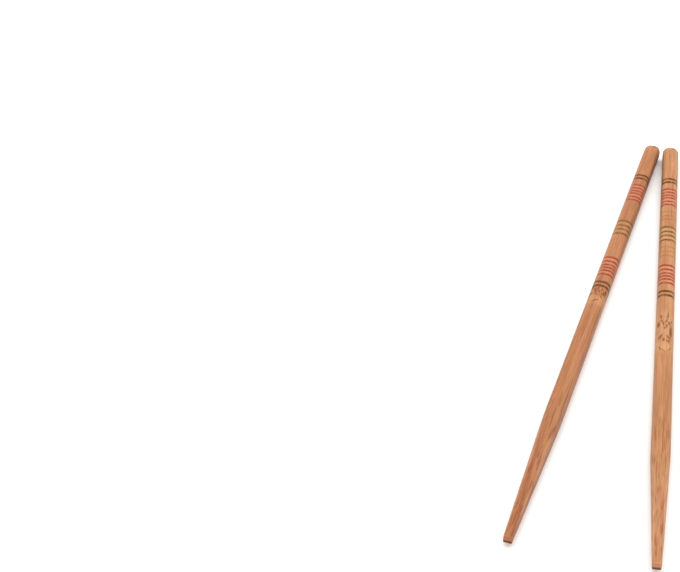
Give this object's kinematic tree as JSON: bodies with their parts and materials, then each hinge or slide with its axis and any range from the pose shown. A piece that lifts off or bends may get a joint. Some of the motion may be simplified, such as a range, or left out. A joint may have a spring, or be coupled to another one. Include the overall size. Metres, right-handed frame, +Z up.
{
  "type": "bamboo chopsticks",
  "caption": "Bamboo chopsticks lying open in a narrow V: soft square handles with painted bands, each tapering to a small square tip.",
  "frame": {"origin": "middle of the pair's footprint, on the surface the sticks lie on", "axes": "+Y from the tips towards the handle ends, +Z up from the surface, +X from the left stick to the right stick"},
  "size_m": [0.0472, 0.2394, 0.0063],
  "materials": {
    "left_bamboo": "rubbed bamboo with a thin satin lacquer",
    "right_bamboo": "rubbed bamboo with a thin satin lacquer"
  },
  "bodies": {
    "root": {"left_chopstick": "left_bamboo", "right_chopstick": "right_bamboo"}
  },
  "joints": []
}
